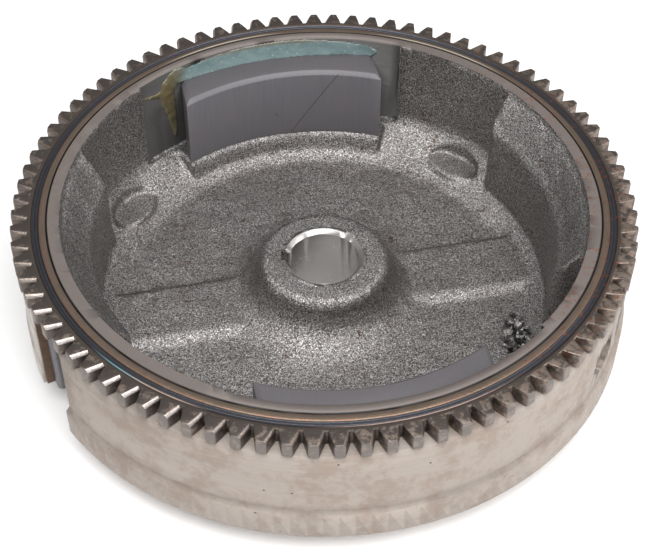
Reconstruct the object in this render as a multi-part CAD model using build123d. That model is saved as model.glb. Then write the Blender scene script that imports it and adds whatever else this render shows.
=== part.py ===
"""Magneto flywheel of a small engine: cast wheel, starter ring gear, magnets and their bonding.

Millimetres, +Z up. The origin is on the bore axis, in the plane of the lowest face (the fan side).
The engine side, with the open cavity and the ring gear, faces up.
"""

import os
from math import atan2, cos, degrees, radians, sin, sqrt, tan

from build123d import *

# Starter ring gear
MODULE = 2.5
TEETH = 86
PRESSURE_ANGLE = 20.0
TIP_R = MODULE * (TEETH + 2) / 2
PITCH_R = MODULE * TEETH / 2
ROOT_R = PITCH_R - 1.25 * MODULE
TOOTH_TIP_WIDTH = 3.3
TOOTH_TURN = 0.66
GEAR_BORE_R = 97.6
GEAR_THICKNESS = 6.3
LEAD_IN_FROM = (103.7, 2.75)
LEAD_IN_TO = (110.0, 0.6)
LEAD_IN_REACH = 1.25
LEAD_IN_SLOPE = 50.0
EDGE_BREAK = 0.4
TIP_BEVEL = 0.5
GROOVE_R = 101.5
GROOVE_HALF_WIDTH = 1.4
GROOVE_DEPTH = 0.7

# Cast wheel: heights above the lowest face
RIM_FOOT_Z = 10.0
FLOOR_Z = 10.0
BAND_TOP_Z = 23.6
SHELF_Z = 20.5
GEAR_SEAT_Z = 51.9
TOP_Z = GEAR_SEAT_Z + GEAR_THICKNESS
HUB_TOP_Z = 28.5
UNDER_RECESS_Z = 2.5

# Cast wheel: radii
RIM_R = 109.1
BAND_R = 110.6
FAN_SEAT_R = 99.0
FAN_SEAT_IN_R = 76.0
WALL_R = 93.0
POCKET_R = 94.2
SHELF_R = 81.0
FLOOR_R = 77.0
HUB_R = 24.2
UNDER_HUB_R = 34.0
BORE_R = 13.1
BORE_CHAMFER = 1.5

# Key slot
KEY_WIDTH = 5.0
KEY_DEPTH = 2.9
KEY_ANGLE = 180.0

# Poles cast on the wall, oval pads beside them, ribs on the web
POLE_ANGLES = (12.5, 192.5)
POLE_SPAN = 57.0
POLE_R = 83.0
POLE_TOP_Z = 45.5
PAD_ANGLES = (52.0, 152.5, 232.0, 332.0)
PAD_RING_R = 84.5
PAD_HALF_WIDTH = 6.0
PAD_HALF_LENGTH = 11.0
PAD_Z = 14.6
RIBS = {12.5: -1, 192.5: 1}
RIB_WIDTH = 24.0
RIB_HEIGHT = 2.0
RIB_SLOPE = 4.5
RIB_REACH = 79.0

# Charging magnets, bonded in two turned pockets
MAGNETS = {"rear": 102.8, "front": 282.5}
MAGNET_IN_R = 81.0
MAGNET_OUT_R = 93.8
MAGNET_HALF_WIDTH = 39.0
MAGNET_HEIGHT = 30.4
MAGNET_BEVEL = 1.6
POCKET_SPAN = 68.4
LEDGE_SPAN = 57.5
POCKET_OFFSET = 2.7

# Ignition magnet and its pole plate, in a notch cut through the rim's skirt
NOTCH_START = 166.8
NOTCH_END = 218.2
NOTCH_R = 100.0
IGNITION_Z = 12.2
IGNITION_TOP_Z = 50.9
IGNITION_START = 176.0
IGNITION_END = 209.0
IGNITION_OUT_R = 105.9
PLATE_START = 179.0
PLATE_END = 206.0
PLATE_OUT_R = 109.9
PLATE_THIN_R = 109.1

# Balance drillings and fan screw holes
DRILL_ANGLES = (330.3, 341.0)
DRILL_Z = 35.8
DRILL_R = 6.7
DRILL_DEPTH = 7.5
DRILL_POINT = 118.0
FAN_HOLE_ANGLES = (57.5, 147.5, 237.5, 327.5)
FAN_HOLE_RING_R = 84.0
FAN_HOLE_R = 3.4
FAN_HOLE_DEPTH = 13.0

CLEAR = 0.1


def polar(radius, angle):
    """X and Y of a point at this radius and angle in degrees."""
    return radius * cos(radians(angle)), radius * sin(radians(angle))


def turned(points, start=0.0, span=360.0):
    """Solid swept about the bore axis by a closed outline of (radius, height) points."""
    outline = make_face(Plane.XZ * Polyline(*points, close=True))
    solid = revolve(outline, axis=Axis.Z, revolution_arc=span)
    return Rot(0, 0, start) * solid


def ring(inner, outer, low, high, start=0.0, span=360.0):
    """Ring, or part of one, of rectangular section."""
    return turned([(inner, low), (outer, low), (outer, high), (inner, high)], start, span)


def tooth_profile(index):
    """Corners of one tooth from root to root, straight flanked."""
    pitch = 360.0 / TEETH
    middle = index * pitch + TOOTH_TURN
    tip_half = degrees(TOOTH_TIP_WIDTH / 2 / TIP_R)
    root_width = TOOTH_TIP_WIDTH + 2 * (TIP_R - ROOT_R) * sin(radians(PRESSURE_ANGLE))
    root_half = degrees(root_width / 2 / ROOT_R)
    return [
        polar(ROOT_R, middle - root_half),
        polar(TIP_R, middle - tip_half),
        polar(TIP_R, middle + tip_half),
        polar(ROOT_R, middle + root_half),
    ]


def tooth_lead_in(index):
    """Wedge that bevels one tooth's top along its leading flank, so that the pinion can enter."""
    turn = Rot(0, 0, index * 360.0 / TEETH + TOOTH_TURN)
    start, end = Vector(*LEAD_IN_FROM, 0), Vector(*LEAD_IN_TO, 0)
    along = (end - start).normalized()
    out = Vector(-along.Y, along.X, 0)
    plane = Plane(origin=start + Vector(0, 0, TOP_Z), x_dir=out, z_dir=along)
    fall = LEAD_IN_REACH * tan(radians(LEAD_IN_SLOPE))
    wedge = Polyline((0, 0), (LEAD_IN_REACH, -fall), (LEAD_IN_REACH, 1), (0, 1), close=True)
    return turn * extrude(make_face(plane * wedge), amount=(end - start).length + 1.5, dir=along)


def starter_ring_gear():
    """Shrunk-on ring gear: toothed ring, heat groove on its face, bevelled tooth tips and edges."""
    outline = [point for index in range(TEETH) for point in tooth_profile(index)]
    blank = extrude(make_face(Polyline(*outline, close=True)), amount=GEAR_THICKNESS)
    gear = Pos(0, 0, GEAR_SEAT_Z) * blank
    gear -= ring(0, GEAR_BORE_R, GEAR_SEAT_Z - 1, TOP_Z + 1)
    gear -= turned([
        (GEAR_BORE_R - 1, TOP_Z + 1),
        (GEAR_BORE_R - 1, TOP_Z - EDGE_BREAK),
        (GEAR_BORE_R, TOP_Z - EDGE_BREAK),
        (GEAR_BORE_R + EDGE_BREAK, TOP_Z),
        (GEAR_BORE_R + EDGE_BREAK, TOP_Z + 1),
    ])
    gear -= turned([
        (GROOVE_R - GROOVE_HALF_WIDTH, TOP_Z + 0.5),
        (GROOVE_R - GROOVE_HALF_WIDTH, TOP_Z),
        (GROOVE_R - GROOVE_HALF_WIDTH / 2, TOP_Z - GROOVE_DEPTH),
        (GROOVE_R + GROOVE_HALF_WIDTH / 2, TOP_Z - GROOVE_DEPTH),
        (GROOVE_R + GROOVE_HALF_WIDTH, TOP_Z),
        (GROOVE_R + GROOVE_HALF_WIDTH, TOP_Z + 0.5),
    ])
    for z, away in ((TOP_Z, 1), (GEAR_SEAT_Z, -1)):
        gear -= turned([
            (TIP_R - TIP_BEVEL, z + away),
            (TIP_R - TIP_BEVEL, z),
            (TIP_R + 1, z - away * (TIP_BEVEL + 1)),
            (TIP_R + 1, z + away),
        ])
    gear -= [tooth_lead_in(index) for index in range(TEETH)]
    return gear


def wheel_blank():
    """Rim, web and hub in one section, before the poles, ribs and cuts."""
    outline = [
        (BORE_R, 0),
        (UNDER_HUB_R, 0),
        (UNDER_HUB_R + 3, UNDER_RECESS_Z),
        (FAN_SEAT_IN_R - 3, UNDER_RECESS_Z),
        (FAN_SEAT_IN_R, 0),
        (FAN_SEAT_R, 0),
        (BAND_R - 4.0, RIM_FOOT_Z - 4.0),
        (BAND_R - 1.0, RIM_FOOT_Z),
        (BAND_R, RIM_FOOT_Z + 1.0),
        (BAND_R, BAND_TOP_Z - 1.5),
        (RIM_R, BAND_TOP_Z),
        (RIM_R, GEAR_SEAT_Z),
        (GEAR_BORE_R, GEAR_SEAT_Z),
        (GEAR_BORE_R, TOP_Z - EDGE_BREAK),
        (GEAR_BORE_R - EDGE_BREAK, TOP_Z),
        (WALL_R, TOP_Z),
        (WALL_R, SHELF_Z + 6.0),
        (WALL_R - 0.5, SHELF_Z + 2.5),
        (WALL_R - 2.0, SHELF_Z - 0.3),
        (WALL_R - 5.0, SHELF_Z - 2.8),
        (FLOOR_R + 5.0, FLOOR_Z + 3.9),
        (FLOOR_R, FLOOR_Z + 1.1),
        (FLOOR_R - 3.0, FLOOR_Z),
        (HUB_R + 18.6, FLOOR_Z),
        (HUB_R + 12.8, FLOOR_Z + 0.5),
        (HUB_R + 8.0, FLOOR_Z + 2.0),
        (HUB_R + 4.4, FLOOR_Z + 4.6),
        (HUB_R + 2.1, FLOOR_Z + 7.9),
        (HUB_R + 0.7, FLOOR_Z + 11.6),
        (HUB_R + 0.2, FLOOR_Z + 15.0),
        (HUB_R - 0.5, HUB_TOP_Z - 1.5),
        (HUB_R - 1.5, HUB_TOP_Z - 0.4),
        (HUB_R - 2.8, HUB_TOP_Z),
        (BORE_R, HUB_TOP_Z),
    ]
    return turned(outline)


def cast_pole(middle):
    """Thick place on the inside of the wall, with a sloped top and rounded ends."""
    outline = [
        (POLE_R, FLOOR_Z - 1),
        (WALL_R + 1, FLOOR_Z - 1),
        (WALL_R + 1, TOP_Z - 1.5),
        (WALL_R - 1.5, TOP_Z - 3.0),
        (POLE_R + 3.0, POLE_TOP_Z + 1.2),
        (POLE_R + 0.6, POLE_TOP_Z - 1.5),
        (POLE_R, POLE_TOP_Z - 4.5),
    ]
    full = turned(outline, middle - POLE_SPAN / 2, POLE_SPAN)
    ends = full.edges().filter_by(Axis.Z).group_by(lambda edge: Vector(*polar_of(edge)).X)[0]
    return fillet(ends, 5.0)


def polar_of(edge):
    """Radius and angle of an edge's middle."""
    middle = edge.center()
    return sqrt(middle.X**2 + middle.Y**2), degrees(atan2(middle.Y, middle.X))


def wall_pad(angle, low, high, grow=0.0):
    """Oval block beside a pole: the pad itself, or the space above it."""
    outline = Ellipse(PAD_HALF_WIDTH + grow, PAD_HALF_LENGTH + grow)
    pad = Pos(PAD_RING_R, 0, low) * extrude(outline, amount=high - low)
    return Rot(0, 0, angle) * pad


def magnet_ledge(middle):
    """Ledge that carries one magnet, standing up out of the slope at the wall's foot."""
    outline = [
        (FLOOR_R, FLOOR_Z - 1),
        (FLOOR_R, FLOOR_Z + 1.0),
        (SHELF_R - 2.2, FLOOR_Z + 3.0),
        (SHELF_R - 0.8, SHELF_Z - 1.6),
        (SHELF_R + 0.6, SHELF_Z),
        (WALL_R + 1.3, SHELF_Z),
        (WALL_R + 1.3, FLOOR_Z - 1),
    ]
    return turned(outline, middle - LEDGE_SPAN / 2, LEDGE_SPAN)


def web_rib(angle, side):
    """Raised strip from the hub to the wall's foot, steep on one side and sloped on the other."""
    half, top = RIB_WIDTH / 2, FLOOR_Z + RIB_HEIGHT
    section = Polyline(
        (-half - 1, FLOOR_Z - 1), (half + RIB_SLOPE, FLOOR_Z - 1), (half + RIB_SLOPE, FLOOR_Z - 0.2),
        (half, top), (-half, top), (-half - 1, FLOOR_Z), close=True,
    )
    rib = extrude(make_face(Plane.YZ * section), amount=RIB_REACH)
    rib = rib if side > 0 else mirror(rib, about=Plane.XZ)
    rib -= Cylinder(HUB_R - 1, 3 * HUB_TOP_Z)
    return Rot(0, 0, angle) * rib


def magnet_pocket(middle):
    """Turned seat for one charging magnet."""
    start = middle + POCKET_OFFSET - POCKET_SPAN / 2
    return ring(SHELF_R - 3, POCKET_R, SHELF_Z, TOP_Z + 1, start, POCKET_SPAN)


def balance_drilling(angle):
    """Drilled pocket in the rim with the drill's conical end, as one turned tool."""
    point_depth = DRILL_R / sin(radians(DRILL_POINT / 2)) * cos(radians(DRILL_POINT / 2))
    profile = Polyline((0, 2), (DRILL_R, 2), (DRILL_R, -DRILL_DEPTH), (0, -DRILL_DEPTH - point_depth), close=True)
    tool = revolve(make_face(Plane.XZ * profile), axis=Axis.Z)
    x, y = polar(RIM_R, angle)
    return Pos(x, y, DRILL_Z) * Rot(0, 0, angle) * Rot(0, 90, 0) * tool


def fan_hole(angle):
    """Blind hole in the fan side."""
    x, y = polar(FAN_HOLE_RING_R, angle)
    return Pos(x, y, FAN_HOLE_DEPTH / 2 - 0.5) * Cylinder(FAN_HOLE_R, FAN_HOLE_DEPTH + 1)


def key_slot():
    """Slot for the crankshaft key, right through the hub."""
    reach = BORE_R + KEY_DEPTH
    slot = Pos(reach / 2, 0, HUB_TOP_Z / 2) * Box(reach, KEY_WIDTH, HUB_TOP_Z + 4)
    return Rot(0, 0, KEY_ANGLE) * slot


def bore_lead():
    """Bevel at the mouth of the bore."""
    return turned([
        (0, HUB_TOP_Z + 1),
        (0, HUB_TOP_Z - BORE_CHAMFER),
        (BORE_R, HUB_TOP_Z - BORE_CHAMFER),
        (BORE_R + BORE_CHAMFER + 1, HUB_TOP_Z + 1),
    ])


def flywheel_casting():
    """One iron casting: rim, web and hub, with its machined places cut."""
    wheel = wheel_blank()
    for angle in POLE_ANGLES:
        wheel += cast_pole(angle)
    for angle, side in RIBS.items():
        wheel += web_rib(angle, side)
    for angle in PAD_ANGLES:
        wheel += wall_pad(angle, FLOOR_Z - 1, PAD_Z)
        wheel -= wall_pad(angle, PAD_Z, PAD_Z + 12.0, grow=0.4)
    for middle in MAGNETS.values():
        wheel += magnet_ledge(middle)
        wheel -= magnet_pocket(middle)
    wheel -= ring(NOTCH_R, BAND_R + 2, -1, GEAR_SEAT_Z, NOTCH_START, NOTCH_END - NOTCH_START)
    wheel -= [balance_drilling(angle) for angle in DRILL_ANGLES]
    wheel -= [fan_hole(angle) for angle in FAN_HOLE_ANGLES]
    wheel -= [key_slot(), bore_lead()]
    return wheel


def charging_magnet(middle):
    """Ferrite arc with parallel ends and bevelled inner edges."""
    arc = ring(MAGNET_IN_R, MAGNET_OUT_R, SHELF_Z, SHELF_Z + MAGNET_HEIGHT, -40, 80)
    block = Pos(MAGNET_OUT_R / 2 + 20, 0, TOP_Z / 2) * Box(MAGNET_OUT_R, 2 * MAGNET_HALF_WIDTH, TOP_Z * 2)
    magnet = arc & block
    inner = magnet.edges().filter_by(GeomType.CIRCLE).filter_by(lambda edge: edge.radius < MAGNET_IN_R + 1)
    top_inner = inner.sort_by(Axis.Z)[-1]
    end_edges = magnet.edges().filter_by(Axis.X).sort_by(Axis.Z)[-2:]
    magnet = chamfer([top_inner, *end_edges], MAGNET_BEVEL)
    return Rot(0, 0, middle) * magnet


def magnet_adhesive(middle, trim):
    """Bonding bead on top of a magnet, in the corner against the pocket's wall."""
    low = SHELF_Z + MAGNET_HEIGHT + 0.02
    outline = [
        (MAGNET_OUT_R - 5.0, low),
        (POCKET_R - 0.02, low),
        (POCKET_R - 0.02, low + 4.6),
        (MAGNET_OUT_R - 1.8, low + 1.6),
    ]
    half = degrees(MAGNET_HALF_WIDTH / MAGNET_OUT_R) - trim
    return turned(outline, middle - half, 2 * half)


def ignition_magnet():
    """Ferrite block in the notch, with its outer upright edges bevelled."""
    span = IGNITION_END - IGNITION_START
    block = ring(NOTCH_R + CLEAR, IGNITION_OUT_R, IGNITION_Z, IGNITION_TOP_Z, IGNITION_START, span)
    edges = block.edges().filter_by(Axis.Z).filter_by(lambda edge: polar_of(edge)[0] > NOTCH_R + 2)
    return chamfer(edges, 1.1)


def ignition_pole_plate():
    """Steel pole plate over the ignition magnet, turned flush with the rim and its lower band."""
    outline = [
        (IGNITION_OUT_R + CLEAR / 2, IGNITION_Z),
        (PLATE_OUT_R - 0.3, IGNITION_Z),
        (PLATE_OUT_R, IGNITION_Z + 0.5),
        (PLATE_OUT_R, BAND_TOP_Z - 1.2),
        (PLATE_THIN_R, BAND_TOP_Z),
        (PLATE_THIN_R, IGNITION_TOP_Z - 0.5),
        (IGNITION_OUT_R + CLEAR / 2, IGNITION_TOP_Z - 0.5),
    ]
    return turned(outline, PLATE_START, PLATE_END - PLATE_START)


def ignition_adhesive():
    """Bonding beads along both ends of the pole plate."""
    beads = []
    for start in (PLATE_START - 0.75, PLATE_END + 0.05):
        outer = PLATE_THIN_R - 0.35
        beads.append(ring(IGNITION_OUT_R + 0.03, outer, IGNITION_Z + 0.8, IGNITION_TOP_Z - 2, start, 0.7))
    return Compound(beads)


def save(shape, node):
    """Writes one sub-part."""
    export_step(shape, f"parts/{node}.step")


os.makedirs("parts", exist_ok=True)
save(flywheel_casting(), "flywheel_casting")
save(starter_ring_gear(), "starter_ring_gear")
for side, angle in MAGNETS.items():
    save(charging_magnet(angle), f"charging_magnet_{side}")
    save(magnet_adhesive(angle, 1.0), f"magnet_adhesive_{side}")
save(ignition_magnet(), "ignition_magnet")
save(ignition_pole_plate(), "ignition_pole_plate")
save(ignition_adhesive(), "ignition_adhesive")
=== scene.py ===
from math import atan2, cos, degrees, hypot, pi, radians, sin
import bpy
from mathutils import Matrix, Vector


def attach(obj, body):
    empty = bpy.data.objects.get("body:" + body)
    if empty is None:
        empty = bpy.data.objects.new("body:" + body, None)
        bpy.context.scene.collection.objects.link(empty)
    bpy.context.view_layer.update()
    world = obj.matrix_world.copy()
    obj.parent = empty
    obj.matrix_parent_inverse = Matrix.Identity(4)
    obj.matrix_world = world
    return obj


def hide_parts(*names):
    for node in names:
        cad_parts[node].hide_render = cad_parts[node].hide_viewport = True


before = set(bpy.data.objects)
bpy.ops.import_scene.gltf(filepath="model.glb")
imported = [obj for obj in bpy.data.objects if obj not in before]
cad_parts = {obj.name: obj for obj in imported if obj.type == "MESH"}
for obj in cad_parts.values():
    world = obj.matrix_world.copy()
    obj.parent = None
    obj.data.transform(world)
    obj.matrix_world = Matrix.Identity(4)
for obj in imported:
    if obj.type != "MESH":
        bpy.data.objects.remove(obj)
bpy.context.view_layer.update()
mm = 0.001
degreesInRadian = 57.29578


# selecting, adding and cutting, as by hand
def pickOnly(*objects):
    bpy.ops.object.select_all(action="DESELECT")
    for piece in objects:
        piece.select_set(True)
    bpy.context.view_layer.objects.active = objects[0]


def openMesh(piece):
    pickOnly(piece)
    bpy.ops.object.mode_set(mode="EDIT")
    bpy.ops.mesh.select_mode(type="VERT")
    bpy.ops.mesh.select_all(action="DESELECT")


def closeMesh():
    bpy.ops.object.mode_set(mode="OBJECT")


def selectVerts(piece, wanted):
    # wanted gets a corner's place, in millimetres
    bpy.ops.object.mode_set(mode="OBJECT")
    for face in piece.data.polygons:
        face.select = False
    for edge in piece.data.edges:
        edge.select = False
    for vert in piece.data.vertices:
        vert.select = wanted(vert.co / mm)
    bpy.ops.object.mode_set(mode="EDIT")


def recalcNormals(piece):
    openMesh(piece)
    bpy.ops.mesh.select_all(action="SELECT")
    bpy.ops.mesh.remove_doubles(threshold=0.002 * mm)
    bpy.ops.mesh.normals_make_consistent(inside=False)
    closeMesh()


def applyModifier(piece, kind, settings):
    modifier = piece.modifiers.new(kind.lower(), kind)
    for setting, value in settings.items():
        setattr(modifier, setting, value)
    pickOnly(piece)
    bpy.ops.object.modifier_apply(modifier=modifier.name)


def combine(piece, tool, operation):
    applyModifier(piece, "BOOLEAN", {"operation": operation, "object": tool, "solver": "MANIFOLD"})
    bpy.data.objects.remove(tool)
    return piece


def joinAll(pieces, name):
    pickOnly(*pieces)
    bpy.ops.object.join()
    pieces[0].name = name
    return pieces[0]


def copyOfNode(node, name):
    # a CAD node's mesh is loose triangles, so the copy's corners are merged
    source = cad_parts[node]
    piece = source.copy()
    piece.data = source.data.copy()
    piece.name = name
    piece.parent = None
    piece.hide_render = False
    for key in list(piece.keys()):
        if key.startswith("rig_"):
            del piece[key]
    piece.data.materials.clear()
    bpy.context.collection.objects.link(piece)
    openMesh(piece)
    bpy.ops.mesh.select_all(action="SELECT")
    bpy.ops.mesh.remove_doubles(threshold=0.001 * mm)
    closeMesh()
    return piece


def duplicateOf(piece, name):
    pickOnly(piece)
    bpy.ops.object.duplicate(linked=False)
    twin = bpy.context.view_layer.objects.active
    twin.name = name
    return twin


def turned(name, outline, steps, start=0, span=360):
    # outline of (radius, height) points drawn by extruding one corner on and on, then spun
    radius, height = outline[0]
    bpy.ops.object.select_all(action="DESELECT")
    bpy.ops.mesh.primitive_plane_add(size=1 * mm, location=(radius * mm, 0, height * mm))
    piece = bpy.context.view_layer.objects.active
    piece.name = name
    bpy.ops.object.transform_apply(location=True, rotation=True, scale=True)
    bpy.ops.object.mode_set(mode="EDIT")
    bpy.ops.mesh.select_mode(type="VERT")
    bpy.ops.mesh.select_all(action="SELECT")
    bpy.ops.mesh.merge(type="CENTER")
    for (r0, z0), (r1, z1) in zip(outline, outline[1:]):
        bpy.ops.mesh.extrude_vertices_move(
            TRANSFORM_OT_translate={"value": ((r1 - r0) * mm, 0, (z1 - z0) * mm)})
    bpy.ops.mesh.select_all(action="SELECT")
    if span < 360:
        bpy.ops.mesh.edge_face_add()
    else:
        ends = (outline[0], outline[-1])
        selectVerts(piece, lambda p: any(abs(p.x - r) < 1e-3 and abs(p.z - z) < 1e-3 for r, z in ends))
        bpy.ops.mesh.edge_face_add()
        bpy.ops.mesh.select_all(action="SELECT")
    bpy.ops.mesh.spin(steps=steps, angle=-radians(span), center=(0, 0, 0), axis=(0, 0, 1))
    closeMesh()
    if span == 360:
        recalcNormals(piece)
    else:
        openMesh(piece)
        bpy.ops.mesh.select_all(action="SELECT")
        bpy.ops.mesh.normals_make_consistent(inside=False)
        closeMesh()
    piece.data.transform(Matrix.Rotation(radians(start), 4, "Z"))
    return piece


def polar(point):
    return hypot(point.x, point.y), degrees(atan2(point.y, point.x)) % 360


def smoothShade(piece, angle):
    pickOnly(piece)
    bpy.ops.object.shade_smooth_by_angle(angle=radians(angle))


def finishPiece(piece, name, nodes, finishes=()):
    piece.name = name
    piece.data.name = name
    if finishes:
        piece.data.materials.clear()
    for finish in finishes:
        piece.data.materials.append(finish.material)
    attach(piece, "root")
    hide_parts(*nodes)
    return piece


class Value:
    # a socket that can stand in a sum
    def __init__(self, finish, socket):
        self.finish = finish
        self.socket = socket

    def maths(self, operation, other, swapped=False):
        terms = [other, self] if swapped else [self, other]
        return self.finish.node("ShaderNodeMath", {"operation": operation}, dict(enumerate(terms)))

    def __add__(self, other): return self.maths("ADD", other)
    def __sub__(self, other): return self.maths("SUBTRACT", other)
    def __mul__(self, other): return self.maths("MULTIPLY", other)
    def __truediv__(self, other): return self.maths("DIVIDE", other)
    def __pow__(self, other): return self.maths("POWER", other)
    def __rsub__(self, other): return self.maths("SUBTRACT", other, True)
    def __rtruediv__(self, other): return self.maths("DIVIDE", other, True)
    __radd__ = __add__
    __rmul__ = __mul__


class Finish:
    # one material, built node by node; positions are in millimetres
    def __init__(self, name):
        self.material = bpy.data.materials.new(name)
        self.material.use_nodes = True
        self.tree = self.material.node_tree
        self.tree.nodes.clear()
        coords = self.node("ShaderNodeTexCoord", output="Object")
        self.place = self.node("ShaderNodeVectorMath", {"operation": "SCALE"},
                               {"Vector": coords, "Scale": 1000.0})
        self.x, self.y, self.height = (
            self.node("ShaderNodeSeparateXYZ", {}, {0: self.place}, axis) for axis in "XYZ")
        self.radius = (self.x * self.x + self.y * self.y) ** 0.5
        self.angle = self.maths("ARCTAN2", self.y, self.x) * degreesInRadian      # -180 to 180

    def node(self, kind, settings=None, inputs=None, output=0):
        made = self.tree.nodes.new(kind)
        for setting, value in (settings or {}).items():
            setattr(made, setting, value)
        for key, value in (inputs or {}).items():
            if isinstance(value, Value):
                self.tree.links.new(value.socket, made.inputs[key])
            else:
                made.inputs[key].default_value = value
        return Value(self, made.outputs[output])

    def maths(self, operation, *terms):
        return self.node("ShaderNodeMath", {"operation": operation}, dict(enumerate(terms)))

    def step(self, value, low, high):
        # 0 below low, 1 above high, smooth between; low may be the larger one
        return self.node("ShaderNodeMapRange", {"interpolation_type": "SMOOTHSTEP", "clamp": True},
                         {"Value": value, "From Min": low, "From Max": high})

    def band(self, value, low, high, soft):
        return self.step(value, low - soft, low + soft) * self.step(value, high + soft, high - soft)

    def noise(self, perMm, detail=2.0, roughness=0.5, distortion=0.0, place=None, offset=None):
        place = place or self.place
        if offset:
            place = self.node("ShaderNodeVectorMath", {"operation": "ADD"}, {0: place, 1: offset})
        return self.node("ShaderNodeTexNoise", {}, {
            "Vector": place, "Scale": perMm, "Detail": detail,
            "Roughness": roughness, "Distortion": distortion})

    def cells(self, perMm):
        return self.node("ShaderNodeTexVoronoi", {"feature": "F1"}, {
            "Vector": self.place, "Scale": perMm, "Randomness": 1.0}, "Distance")

    def joined(self, x, y, z):
        return self.node("ShaderNodeCombineXYZ", {}, {0: x, 1: y, 2: z})

    def mix(self, share, first, second):
        def colour(c):
            return c if isinstance(c, Value) else (*c, 1)
        return self.node("ShaderNodeMix", {"data_type": "RGBA", "blend_type": "MIX", "clamp_factor": True},
                         {0: share, 6: colour(first), 7: colour(second)}, 2)

    def bump(self, height, distance, strength):
        return self.node("ShaderNodeBump", {}, {
            "Height": height, "Distance": distance * mm, "Strength": strength})

    def done(self, **sockets):
        # sockets are named in camelCase, as baseColor for Base Color
        names = {"baseColor": "Base Color", "roughness": "Roughness", "metallic": "Metallic",
                 "normal": "Normal", "coat": "Coat Weight", "specular": "Specular IOR Level"}
        inputs = {}
        for key, value in sockets.items():
            if key == "baseColor" and not isinstance(value, Value):
                value = (*value, 1)
            inputs[names[key]] = value
        shader = self.node("ShaderNodeBsdfPrincipled", {}, inputs)
        out = self.tree.nodes.new("ShaderNodeOutputMaterial")
        self.tree.links.new(shader.socket, out.inputs["Surface"])
        return self


print("finishes")

casting = {
    "top": 58.2, "voxel": 0.86, "smoothing": 3, "grainSize": 1.3, "grainDepth": 0.34,
    "waveSize": 8.0, "waveDepth": 0.7, "pockets": ((71.3, 139.7), (251.0, 319.4)), "steps": 180,
    "slagX": 70.5, "slagY": -24.0, "slagHalfX": 5.5, "slagHalfY": 13.0, "slagDepth": 9.0,
    "keySlotPlace": (-14, 0, 30), "keySlotSize": (7, 5.8, 30),
}

rustTones = {"fresh": (0.24, 0.085, 0.045), "old": (0.12, 0.06, 0.04)}


def castIronSkin():
    # sand-cast grain: dark pits, bright fused grains, near-white painted glints on the highest grains, a few
    # brown spots
    look = {"pit": (0.078, 0.073, 0.071), "grain": (0.415, 0.393, 0.381), "glint": (1.0, 0.98, 0.96),
            "cloud": (0.15, 0.135, 0.125), "slag": (0.008, 0.008, 0.008)}
    f = Finish("cast_iron_skin")
    grain = f.noise(1.65, 4, 0.62, 0.6)
    fine = f.noise(3.3, 2, 0.5, 0.3)
    mixed = grain * 0.66 + fine * 0.34
    share = f.step(mixed, 0.37, 0.62)
    base = f.mix(share, look["pit"], look["grain"])
    # painted highlight: near-white glint specks where both grain noises are high
    glint = f.step(fine, 0.55, 0.62) * f.step(grain, 0.45, 0.53)
    base = f.mix(glint, base, look["glint"])
    patch = f.step(f.noise(0.05, 3), 0.38, 0.66)
    base = f.mix(patch * 0.2, base, look["cloud"])
    awayX = (f.x - casting["slagX"]) / casting["slagHalfX"]
    awayY = (f.y - casting["slagY"]) / casting["slagHalfY"]
    away = awayX ** 2 + awayY ** 2
    slag = f.step(away, 1.25, 0.6) * f.step(f.height, 8.5, 9.0)
    base = f.mix(slag * f.step(f.noise(0.38, 3, 0.6), 0.53, 0.47) * 0.93, base, look["slag"])
    spot = f.step(f.noise(0.17, 3, 0.6, offset=(31, 7, 3)), 0.62, 0.68) * f.step(f.noise(0.9, 2), 0.42, 0.6)
    base = f.mix(spot * 0.75, base, rustTones["old"])
    rough = 0.31 + (1 - share) * 0.19 + spot * 0.3
    relief = f.bump(mixed, 0.52, 1.0)
    return f.done(baseColor=base, metallic=1.0, roughness=rough, normal=relief)


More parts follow.
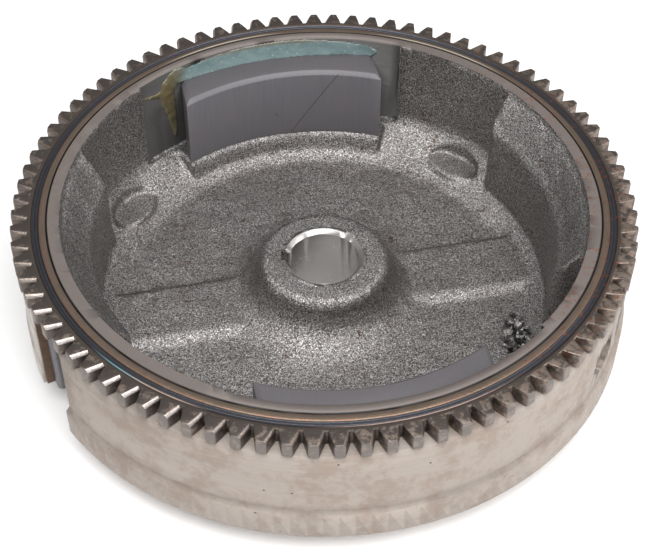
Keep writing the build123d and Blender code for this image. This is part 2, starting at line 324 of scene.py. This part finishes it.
def machinedIron():
    # turned faces: taupe top face with rust specks, mottled outer wall, pockets painted near-black as shade,
    # bright bore
    look = {"taupe": (0.205, 0.178, 0.165), "wall": (0.405, 0.352, 0.312), "wallStain": (0.34, 0.275, 0.232),
            "pocket": (0.062, 0.06, 0.059), "bore": (0.50, 0.48, 0.465), "wallShine": (0.44, 0.40, 0.365),
            "warm": (0.20, 0.155, 0.135), "joint": (0.02, 0.018, 0.018), "castDark": (0.07, 0.066, 0.064),
            "castLight": (0.40, 0.385, 0.375), "toolMark": (0.08, 0.075, 0.07), "pit": (0.03, 0.028, 0.026)}
    f = Finish("machined_iron")
    rings = f.noise(1.0, 3, 0.6, 0.0, f.joined(f.radius * 5.0, f.angle * 0.05, f.height * 5.0))
    broad = f.noise(1.0, 3, 0.6, 0.0, f.joined(f.radius * 0.9, f.angle * 0.08, f.height * 0.35))
    mottle = f.noise(0.07, 4, 0.6)
    blot = f.noise(0.35, 4, 0.62, 0.4)
    onTop = f.step(f.height, 57.3, 57.9) * f.step(f.radius, 90, 92)
    outer = f.step(f.radius, 98.5, 99.5)
    hub = f.step(f.radius, 17.5, 16.5)
    wall = f.mix(f.step(mottle + (blot - 0.5) * 0.5, 0.42, 0.66), look["wall"], look["wallStain"])
    wall = f.mix(f.step(broad, 0.5, 0.75) * 0.35, wall, look["wallShine"])
    top = f.mix(f.step(blot, 0.35, 0.7) * 0.5, look["taupe"], look["warm"])
    rightSide = f.step(f.x, 10, 85) * 0.14 + f.step(f.x, -60, -95) * 0.035
    speck = f.step(f.noise(0.55, 3, 0.6, 0.5, offset=(5, 3, 8)) + rightSide, 0.70, 0.78)
    top = f.mix(speck * 0.75, top, rustTones["fresh"])
    top = f.mix(f.step(f.radius, 97.0, 97.35), top, look["joint"])
    # painted shade: the near-black pocket colour is the ground for every turned face that is not the top
    # face, outer wall, bore or cast underside, the pockets among them
    base = f.mix(onTop, look["pocket"], top)
    base = f.mix(outer, base, wall)
    base = f.mix(hub, base, look["bore"])
    castPart = f.step(f.height, 8.5, 7.5) * f.band(f.radius, 35.5, 74.5, 0.8)
    grain = f.noise(0.9, 4, 0.62, 0.6)
    base = f.mix(castPart, base, f.mix(grain, look["castDark"], look["castLight"]))
    base = f.mix((rings - 0.5) * 0.35 + 0.1, base, look["toolMark"])
    pits = f.step(f.cells(0.11), 0.055, 0.035)
    base = f.mix(pits * 0.8, base, look["pit"])
    rough = 0.36 + mottle * 0.2 + speck * 0.2 - hub * 0.16 + castPart * 0.1
    relief = f.bump(rings * (1 - castPart) * 0.25 + grain * castPart + blot * 0.12 - pits * 0.3, 0.5, 0.8)
    oxide = outer + onTop
    return f.done(baseColor=base, metallic=0.85 - oxide * 0.4, roughness=rough + oxide * 0.12, normal=relief)


def gearSteel(name, worn):
    # oxidised ring: brown inside the heat groove, blue-grey in it, dark outside; worn marks the bare
    # lead-ins, given a painted highlight on the left-front arc; a painted reflection sits in the groove at
    # the front and a painted glint near the inner edge at the back
    look = {"inner": (0.25, 0.185, 0.145), "orange": (0.25, 0.15, 0.105), "groove": (0.075, 0.076, 0.088),
            "outer": (0.13, 0.105, 0.09), "tooth": (0.125, 0.105, 0.094), "tan": (0.36, 0.285, 0.235),
            "bareWithHighlight": (0.92, 0.84, 0.79), "line": (0.014, 0.013, 0.014), "warm": (0.22, 0.17, 0.125),
            "paintedReflectionBlue": (0.35, 0.75, 0.85), "paintedReflectionPink": (0.95, 0.72, 0.62), "backGlint": (1.0, 0.9, 0.78),
            "toothEnd": (0.24, 0.215, 0.2), "dull": (0.25, 0.205, 0.18), "scuff": (0.40, 0.32, 0.27),
            "dirt": (0.03, 0.028, 0.026)}
    f = Finish(name)
    blot = f.noise(0.35, 4, 0.62, 0.4)
    fine = f.noise(1.6, 3, 0.6)
    patch = f.noise(0.09, 3, 0.6)
    ringStreak = f.noise(1.0, 3, 0.6, 0.0, f.joined(f.radius * 4.0, f.angle * 0.12, f.height * 2))
    base = f.mix(f.step(f.radius, 99.4, 100.1), look["inner"], look["orange"])
    base = f.mix(f.step(patch, 0.40, 0.62) * 0.7, base, look["warm"])
    base = f.mix(f.band(f.radius, 100.3, 102.75, 0.12), base, look["groove"])
    # painted reflection: a bright line in the groove on two front arcs, blue at the left-most end and pink
    # elsewhere
    frontArcs = f.band(f.angle, -133, -113, 4) + f.band(f.angle, -86, -58, 8)
    shine = frontArcs * f.band(f.radius, 101.9, 102.5, 0.2)
    paintedReflectionTint = f.mix(f.step(f.angle, -130, -122), look["paintedReflectionBlue"], look["paintedReflectionPink"])
    base = f.mix(shine * 0.9, base, paintedReflectionTint)
    # painted highlight: a near-white glint line near the inner edge of the top face on two back arcs
    backArcs = f.band(f.angle, 50, 75, 6) + f.band(f.angle, 104, 126, 6)
    backGlint = backArcs * f.band(f.radius, 98.25, 98.75, 0.15)
    base = f.mix(backGlint, base, look["backGlint"])
    grooveEdges = f.band(f.radius, 100.25, 100.5, 0.1) + f.band(f.radius, 102.7, 103.0, 0.12)
    lines = f.step(f.radius, 98.1, 97.8) + grooveEdges
    base = f.mix(lines * 0.85, base, look["line"])
    base = f.mix(f.step(f.radius, 102.95, 103.2), base, look["outer"])
    tooth = f.step(f.radius, 103.6, 104.4)
    tan = f.step(blot + f.step(f.x, -20, 90) * 0.1, 0.52, 0.66) * 0.75
    base = f.mix(tooth, base, f.mix(tan, look["tooth"], look["tan"]))
    speckle = f.step(f.noise(0.5, 3, 0.6, 0.5, offset=(15, 3, 18)) + f.step(f.x, 0, 100) * 0.11, 0.70, 0.77)
    base = f.mix(speckle * 0.8, base, rustTones["fresh"])
    end = f.step(f.radius, 109.3, 109.8)
    base = f.mix(end * 0.5, base, look["toothEnd"])
    # painted highlight: the bare lead-in facets are near-white on the left-front arc and dull elsewhere
    highlightArc = f.band(f.angle, -152, -112, 12)
    bareWithHighlight = f.mix(highlightArc, look["dull"], look["bareWithHighlight"])
    base = f.mix(worn, base, f.mix(f.step(fine, 0.42, 0.7) * 0.55, bareWithHighlight, look["scuff"]))
    base = f.mix((ringStreak - 0.5) * 0.5 + 0.1, base, look["dirt"])
    rough = 0.36 + blot * 0.22 - 0.08 * worn
    relief = f.bump(blot * 0.6 + fine * 0.35 + ringStreak * 0.2 * (1 - tooth), 0.35, 0.8)
    return f.done(baseColor=base, metallic=0.9, roughness=rough, normal=relief)


def ferrite():
    # ground ferrite: dark blue-grey, fine upright grinding lines, lighter worn bevels
    look = {"body": (0.105, 0.102, 0.113), "light": (0.17, 0.164, 0.178), "cloud": (0.16, 0.14, 0.15),
            "top": (0.085, 0.075, 0.08), "scratch": (0.02, 0.02, 0.022), "smudge": (0.035, 0.033, 0.035)}
    f = Finish("ferrite_ground")
    lines = f.noise(1.0, 3, 0.65, 0.0, f.joined(f.angle * 5.0, f.height * 0.05, f.radius * 0.3))
    cross = f.noise(1.0, 2, 0.6, 0.0, f.joined(f.angle * 7.0, f.radius * 0.25, 0.0))
    cloud = f.noise(0.06, 3, 0.6)
    flat = f.step(f.height, 50.6, 50.85)
    base = f.mix(lines, look["body"], look["light"])
    base = f.mix(f.step(cloud, 0.4, 0.65) * 0.35, base, look["cloud"])
    base = f.mix(f.step(f.height, 50.6, 50.88) * 0.55, base, look["top"])
    slant = f.angle - (98.0 - (f.height - 25.0) * 0.47)
    scratch = f.band(slant, -0.13, 0.13, 0.1) * f.step(f.radius, 81.6, 81.2) * f.step(f.y, 40, 60)
    base = f.mix(scratch * 0.8, base, look["scratch"])
    smudge = f.step(f.noise(0.22, 3, 0.6, offset=(3, 9, 2)), 0.72, 0.78)
    base = f.mix(smudge * 0.7, base, look["smudge"])
    rough = 0.42 + lines * 0.15
    relief = f.bump(lines * (1 - flat) + cross * flat * 0.6, 0.12, 0.7)
    return f.done(baseColor=base, metallic=0.1, roughness=rough, normal=relief, specular=0.5)


def bondingResin():
    # teal resin, olive and amber where it is thin and has run down the wall
    look = {"teal": (0.10, 0.155, 0.16), "sea": (0.19, 0.25, 0.25), "olive": (0.075, 0.078, 0.045),
            "amber": (0.17, 0.125, 0.06), "rim": (0.13, 0.11, 0.07), "bubble": (0.72, 0.76, 0.74)}
    f = Finish("bonding_resin")
    run = f.step(f.angle, 124, 131)
    thin = f.noise(0.25, 3, 0.5)
    speck = f.step(f.cells(0.55), 0.12, 0.06)
    base = f.mix(f.noise(0.12, 3), look["teal"], look["sea"])
    base = f.mix(run, base, f.mix(thin, look["olive"], look["amber"]))
    rim = f.step(f.height, 55.6, 56.8) * (1 - run)
    base = f.mix(rim * 0.8, base, look["rim"])
    base = f.mix(speck * 0.6, base, look["bubble"])
    relief = f.bump(f.noise(0.3, 3) + speck * 0.2, 0.5, 0.6)
    return f.done(baseColor=base, metallic=0.0, roughness=0.24, normal=relief, coat=0.3)


def amberResin():
    # thick brown resin at the ends of the pole plate
    look = {"dark": (0.045, 0.026, 0.017), "amber": (0.14, 0.075, 0.035)}
    f = Finish("amber_resin")
    base = f.mix(f.noise(0.5, 3), look["dark"], look["amber"])
    return f.done(baseColor=base, metallic=0.0, roughness=0.3, normal=f.bump(f.noise(0.6, 3), 0.3, 0.6))


def plateSteel():
    # turned steel with fine marks along the wall
    look = {"steel": (0.52, 0.485, 0.455), "stain": (0.40, 0.35, 0.315), "mark": (0.10, 0.09, 0.085)}
    f = Finish("turned_plate")
    streaks = f.noise(1.0, 3, 0.6, 0.0, f.joined(f.angle * 0.12, f.height * 4.0, 0.0))
    blot = f.noise(0.18, 4, 0.6)
    base = f.mix(f.step(blot, 0.35, 0.7), look["steel"], look["stain"])
    base = f.mix((streaks - 0.5) * 0.4 + 0.08, base, look["mark"])
    relief = f.bump(streaks, 0.15, 0.7)
    return f.done(baseColor=base, metallic=0.85, roughness=0.38 + blot * 0.15, normal=relief)


castFinish = castIronSkin()
turnedFinish = machinedIron()
gearFinish = gearSteel("gear_steel_dark", 0.0)
wornFinish = gearSteel("gear_steel_worn", 0.85)
ferriteFinish = ferrite()
resinFinish = bondingResin()
amberFinish = amberResin()
plateFinish = plateSteel()


# the casting keeps its machined faces as drawn, and its inside is rebuilt as a sand-cast skin
print("casting")


def castZone(name, inset, lip):
    # everything inside the wheel down to a little under the cast surface, as one solid of turning
    i, top = inset, casting["top"]
    outline = [(15.2 + i, top + lip), (15.2 + i, 25.2 + i), (19.2 - i, 25.0 + i), (20.2 - i, 18.0 + i),
               (22.3 - i, 12.0 + i), (27.0 - i, 8.2 + i), (34.0, 7.3 + i), (74.5, 7.3 + i), (84.5, 11.5 + i),
               (91.5, 15.5 + i), (95.2 - i, 20.0 + i)]
    outline += [(95.2 - i, top - 1.1), (93.12, top - 1.1), (93.12, top + lip)] if lip else [(95.2 - i, top)]
    zone = turned(name, outline, casting["steps"])
    for start, end in casting["pockets"]:
        seat = turned("seat", [(92.2 + i, 21.4), (98, 21.4), (98, 70), (92.2 + i, 70)], 40,
                      start - i * 0.3, end - start + i * 0.6)
        combine(zone, seat, "DIFFERENCE")
    bpy.ops.object.select_all(action="DESELECT")
    bpy.ops.mesh.primitive_cube_add(size=1, location=[side * mm for side in casting["keySlotPlace"]],
                                    scale=[side * mm for side in casting["keySlotSize"]])
    slot = bpy.context.view_layer.objects.active
    bpy.ops.object.transform_apply(location=True, rotation=True, scale=True)
    return combine(zone, slot, "DIFFERENCE")


def proceduralTexture(name, size, depth=2):
    texture = bpy.data.textures.new(name, "CLOUDS")
    texture.noise_scale = size * mm
    texture.noise_depth = depth
    return texture


def weightByPlace(piece, name, weight):
    group = piece.vertex_groups.new(name=name)
    for vert in piece.data.vertices:
        share = weight(vert.co / mm)
        if share > 0:
            group.add([vert.index], share, "REPLACE")
    return name


def slagShare(p):
    away = hypot((p.x - casting["slagX"]) / casting["slagHalfX"],
                 (p.y - casting["slagY"]) / casting["slagHalfY"])
    return max(0.0, 1 - away ** 2) if 8.5 < p.z < 24 else 0.0


def buildCasting():
    machined = copyOfNode("flywheel_casting", "wheel_casting")
    skin = duplicateOf(machined, "skin")
    applyModifier(skin, "REMESH", {"mode": "VOXEL", "voxel_size": casting["voxel"] * mm})
    applyModifier(skin, "SMOOTH", {"factor": 0.5, "iterations": casting["smoothing"]})
    slag = weightByPlace(skin, "slag", slagShare)
    for texture, group, depth in (
            (proceduralTexture("waves", casting["waveSize"]), "", casting["waveDepth"]),
            (proceduralTexture("grains", casting["grainSize"], 1), "", casting["grainDepth"]),
            (proceduralTexture("slag", 2.4, 1), slag, casting["slagDepth"])):
        applyModifier(skin, "DISPLACE", {"texture": texture, "texture_coords": "LOCAL", "mid_level": 0.5,
                                         "strength": depth * mm, "vertex_group": group})
    combine(skin, castZone("zone", 0.0, 0), "INTERSECT")
    combine(machined, castZone("inner_zone", 0.4, 8), "DIFFERENCE")
    combine(machined, skin, "UNION")
    print("casting triangles", sum(len(face.vertices) - 2 for face in machined.data.polygons))
    return machined


wheel = buildCasting()
finishPiece(wheel, "wheel_casting", ["flywheel_casting"], [turnedFinish, castFinish])


def isCast(middle):
    radius, angle = polar(middle)
    if not 14.9 < radius < 93.4 or middle.z < 8.9 or middle.z > casting["top"] - 0.02:
        return False
    inPocket = any(start < angle < end for start, end in casting["pockets"])
    return not (inPocket and radius > 92.3 and middle.z > 21.4)


for face in wheel.data.polygons:
    face.material_index = 1 if isCast(face.center / mm) else 0
smoothShade(wheel, 36)


print("ring gear")

gear = {
    "teeth": 86, "tip": 110.0, "root": 104.375, "bore": 97.6, "low": 51.9, "top": 58.2,
    "tipWidth": 3.3, "midWidth": 5.4, "lowWidth": 6.8, "rootWidth": 7.15, "slope": 50.0, "round": 0.4,
    "leadFrom": (103.7, 2.75), "leadTo": (110.0, 0.6), "turn": 0.66,
    "grooveIn": 100.1, "grooveOut": 102.9, "grooveDepth": 0.7, "wear": 0.16,
}


def gearRing():
    g = gear
    outline = [(g["bore"], g["low"]), (g["root"], g["low"]), (g["root"], g["top"] - 0.35),
               (g["root"] - 0.3, g["top"] - 0.05), (g["grooveOut"] + 0.25, g["top"]),
               (g["grooveOut"], g["top"] - 0.08), (g["grooveOut"] - 0.65, g["top"] - 0.66),
               (101.75, g["top"] - g["grooveDepth"]), (101.55, g["top"] - 0.55),
               (101.35, g["top"] - g["grooveDepth"]),
               (g["grooveIn"] + 0.65, g["top"] - 0.66), (g["grooveIn"], g["top"] - 0.08),
               (g["grooveIn"] - 0.25, g["top"]),
               (g["bore"] + 0.4, g["top"]), (g["bore"] + 0.1, g["top"] - 0.15), (g["bore"], g["top"] - 0.4)]
    return turned("gear_ring", outline, 344)


def oneTooth():
    g = gear
    inner, outer = g["root"] - 1.2, g["tip"]
    bpy.ops.object.select_all(action="DESELECT")
    bpy.ops.mesh.primitive_cube_add(
        size=1, location=((inner + outer) / 2 * mm, 0, (g["low"] + g["top"]) / 2 * mm),
        scale=((outer - inner) * mm, g["rootWidth"] * mm, (g["top"] - g["low"]) * mm))
    tooth = bpy.context.view_layer.objects.active
    bpy.ops.object.transform_apply(location=True, rotation=True, scale=True)
    openMesh(tooth)
    for at in (g["root"] + 0.5, g["root"] + 2.6):
        bpy.ops.mesh.select_all(action="SELECT")
        bpy.ops.mesh.bisect(plane_co=(at * mm, 0, 0), plane_no=(1, 0, 0))
    for low, high, width in ((g["tip"] - 0.5, g["tip"] + 1, g["tipWidth"]),
                             (g["root"] + 2, g["root"] + 3, g["midWidth"]),
                             (g["root"] + 0.2, g["root"] + 1, g["lowWidth"])):
        selectVerts(tooth, lambda p: low < p.x < high)
        bpy.ops.transform.resize(value=(1, width / g["rootWidth"], 1), center_override=(0, 0, 0))
    # the pinion's way in: the top slopes down on one side, from the near root corner out to the tip
    corner = Vector((*g["leadFrom"], g["top"]))
    along = (Vector((*g["leadTo"], g["top"])) - corner).normalized()
    out = Vector((-along.y, along.x, 0))
    slope = radians(g["slope"])
    normal = Vector((out.x * sin(slope), out.y * sin(slope), cos(slope)))
    bpy.ops.mesh.select_all(action="SELECT")
    bpy.ops.mesh.bisect(plane_co=corner * mm, plane_no=normal, use_fill=True, clear_outer=True)
    closeMesh()
    applyModifier(tooth, "BEVEL", {"width": g["round"] * mm, "segments": 3, "limit_method": "ANGLE",
                                   "angle_limit": radians(25)})
    tooth.data.materials.append(gearFinish.material)
    tooth.data.materials.append(wornFinish.material)
    for face in tooth.data.polygons:
        face.material_index = 1 if face.normal.dot(normal) > 0.93 else 0
    return tooth


def buildGear():
    ring = gearRing()
    ring.data.materials.append(gearFinish.material)
    ring.data.materials.append(wornFinish.material)
    tooth = oneTooth()
    openMesh(tooth)
    bpy.ops.mesh.select_all(action="SELECT")
    step = 2 * pi / gear["teeth"]
    bpy.ops.mesh.spin(steps=gear["teeth"] - 1, dupli=True, angle=step * (gear["teeth"] - 1),
                      center=(0, 0, 0), axis=(0, 0, 1))
    closeMesh()
    tooth.data.transform(Matrix.Rotation(radians(gear["turn"]), 4, "Z"))
    whole = joinAll([ring, tooth], "ring_gear")
    applyModifier(whole, "DISPLACE", {
        "texture": proceduralTexture("wear", 2.2, 2), "texture_coords": "LOCAL",
        "mid_level": 1.0, "strength": gear["wear"] * mm})
    print("gear faces", len(whole.data.polygons))
    return whole


ringGear = buildGear()
finishPiece(ringGear, "ring_gear", ["starter_ring_gear"])
smoothShade(ringGear, 30)


# the magnets and the pole plate are the CAD shapes with their edges eased
print("magnets")


def easedCopy(node, name, finish, width):
    piece = copyOfNode(node, name)
    openMesh(piece)
    bpy.ops.mesh.select_all(action="SELECT")
    bpy.ops.mesh.dissolve_limited(angle_limit=radians(2))
    closeMesh()
    applyModifier(piece, "BEVEL", {"width": width * mm, "segments": 2, "limit_method": "ANGLE",
                                   "angle_limit": radians(28), "use_clamp_overlap": True})
    finishPiece(piece, name, [node], [finish])
    smoothShade(piece, 30)
    return piece


easedCopy("charging_magnet_rear", "magnet_rear", ferriteFinish, 0.22)
easedCopy("charging_magnet_front", "magnet_front", ferriteFinish, 0.22)
easedCopy("ignition_magnet", "magnet_ignition", ferriteFinish, 0.22)
easedCopy("ignition_pole_plate", "pole_plate", plateFinish, 0.22)


# resin: a cove over each magnet, and what has run down beside it
print("resin")

resin = {
    "voxel": 0.42, "wall": 94.2, "onMagnet": 50.9, "smoothing": 10,
    # angle, height, half width along the wall, half height, thickness
    "rearRun": ((127.8, 55.6, 3.4, 2.4, 1.0), (129.3, 53.6, 3.8, 3.4, 1.0), (130.8, 51.0, 4.2, 4.0, 1.0),
                (131.6, 48.0, 4.4, 4.2, 1.0), (131.4, 44.4, 3.8, 4.6, 1.0), (131.0, 40.6, 3.2, 4.8, 1.0),
                (130.6, 36.6, 2.5, 4.8, 1.0), (130.3, 32.6, 2.0, 4.8, 0.9), (130.1, 28.6, 1.4, 4.2, 0.8),
                (134.4, 49.2, 2.6, 1.5, 0.7), (136.2, 49.9, 2.2, 1.0, 0.6), (137.8, 50.8, 1.8, 0.8, 0.55),
                (139.0, 51.7, 1.2, 0.7, 0.5), (78.2, 52.6, 1.8, 1.6, 0.7)),
    "frontRun": ((253.6, 53.6, 2.2, 1.8, 0.9), (255.4, 54.6, 2.2, 1.6, 0.9), (310.6, 53.8, 2.0, 1.8, 0.8)),
}


def blob(angle, height, halfWidth, halfHeight, thickness):
    bpy.ops.object.select_all(action="DESELECT")
    bpy.ops.mesh.primitive_ico_sphere_add(subdivisions=3, radius=1 * mm, location=(0, 0, 0),
                                          scale=(thickness, halfWidth, halfHeight))
    piece = bpy.context.view_layer.objects.active
    bpy.ops.object.transform_apply(location=True, rotation=True, scale=True)
    piece.data.transform(Matrix.Rotation(radians(angle), 4, "Z")
                         @ Matrix.Translation(((resin["wall"] + 0.1) * mm, 0, height * mm)))
    return piece


def cove(start, end, steps):
    # thickest in the middle of the magnet, thin at its ends
    low, wall = resin["onMagnet"] - 0.3, resin["wall"] + 0.3
    piece = turned("cove", [(wall, low), (wall - 3.2, low), (wall - 2.4, low + 1.5), (wall - 1.5, low + 3.6),
                            (wall - 0.7, low + 6.4), (wall, low + 7.2)], steps, start, end - start)
    middle, half = (start + end) / 2, (end - start) / 2
    for vert in piece.data.vertices:
        radius, angle = polar(vert.co)
        share = 1 - 0.62 * abs((angle - middle) / half) ** 2.2
        pulled = wall * mm - (wall * mm - radius) * share
        vert.co.xy *= pulled / radius
        vert.co.z = low * mm + (vert.co.z - low * mm) * (0.55 + 0.45 * share)
    return piece


def resinPiece(name, node, start, end, run, finish):
    piece = joinAll([cove(start, end, 60)] + [blob(*entry) for entry in run], name)
    applyModifier(piece, "REMESH", {"mode": "VOXEL", "voxel_size": resin["voxel"] * mm})
    applyModifier(piece, "SMOOTH", {"factor": 0.5, "iterations": resin["smoothing"]})
    applyModifier(piece, "DISPLACE", {
        "texture": proceduralTexture("sag", 3.5), "texture_coords": "LOCAL",
        "mid_level": 0.5, "strength": 0.5 * mm})
    finishPiece(piece, name, [node], [finish])
    pickOnly(piece)
    bpy.ops.object.shade_smooth()
    return piece


resinPiece("resin_rear", "magnet_adhesive_rear", 78.5, 128.5, resin["rearRun"], resinFinish)
resinPiece("resin_front", "magnet_adhesive_front", 256.5, 309.5, resin["frontRun"], resinFinish)
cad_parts["ignition_adhesive"].data.materials.clear()
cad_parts["ignition_adhesive"].data.materials.append(amberFinish.material)


print("studio")

studio = {
    "floor": (0.97, 0.97, 0.97), "floorSize": 8, "world": 0.40,
    # name, place, width, depth, watts
    "boxes": (("top_box", (0.05, -0.45, 0.97), 1.15, 0.80, 16.0),
              ("right_box", (1.05, -0.15, 0.42), 0.55, 0.5, 3.6)),
}

bpy.ops.object.select_all(action="DESELECT")
bpy.ops.mesh.primitive_plane_add(size=studio["floorSize"], location=(0, 0, 0))
floor = bpy.context.view_layer.objects.active
floor.name = "studio_floor"
floorFinish = Finish("studio_paper")
floorFinish.done(baseColor=studio["floor"], roughness=0.9, metallic=0.0)
floor.data.materials.append(floorFinish.material)

world = bpy.data.worlds.new("studio")
bpy.context.scene.world = world
world.use_nodes = True
world.node_tree.nodes["Background"].inputs["Color"].default_value = (1, 1, 1, 1)
world.node_tree.nodes["Background"].inputs["Strength"].default_value = studio["world"]


def addSoftbox(name, place, width, depth, energy):
    lamp = bpy.data.lights.new(name, "AREA")
    lamp.shape = "RECTANGLE"
    lamp.size, lamp.size_y, lamp.energy = width, depth, energy
    softbox = bpy.data.objects.new(name, lamp)
    softbox.location = place
    softbox.rotation_euler = (-Vector(place)).to_track_quat("-Z", "Y").to_euler()
    bpy.context.collection.objects.link(softbox)


for box in studio["boxes"]:
    addSoftbox(*box)

view = {"lens": 77.28, "sensor": 36, "near": 0.01, "far": 20, "place": (0.000351, -0.36355, 0.39312),
        "tilt": 0.76883, "roll": 0.00596}
camera = bpy.data.objects.new("camera", bpy.data.cameras.new("camera"))
camera.data.lens = view["lens"]
camera.data.sensor_width = view["sensor"]
camera.data.clip_start = view["near"]
camera.data.clip_end = view["far"]
camera.location = view["place"]
facing = Matrix.Rotation(view["tilt"], 3, "X") @ Matrix.Rotation(view["roll"], 3, "Z")
camera.rotation_euler = facing.to_euler()
bpy.context.collection.objects.link(camera)
bpy.context.scene.camera = camera
bpy.context.scene.view_settings.view_transform = "Standard"
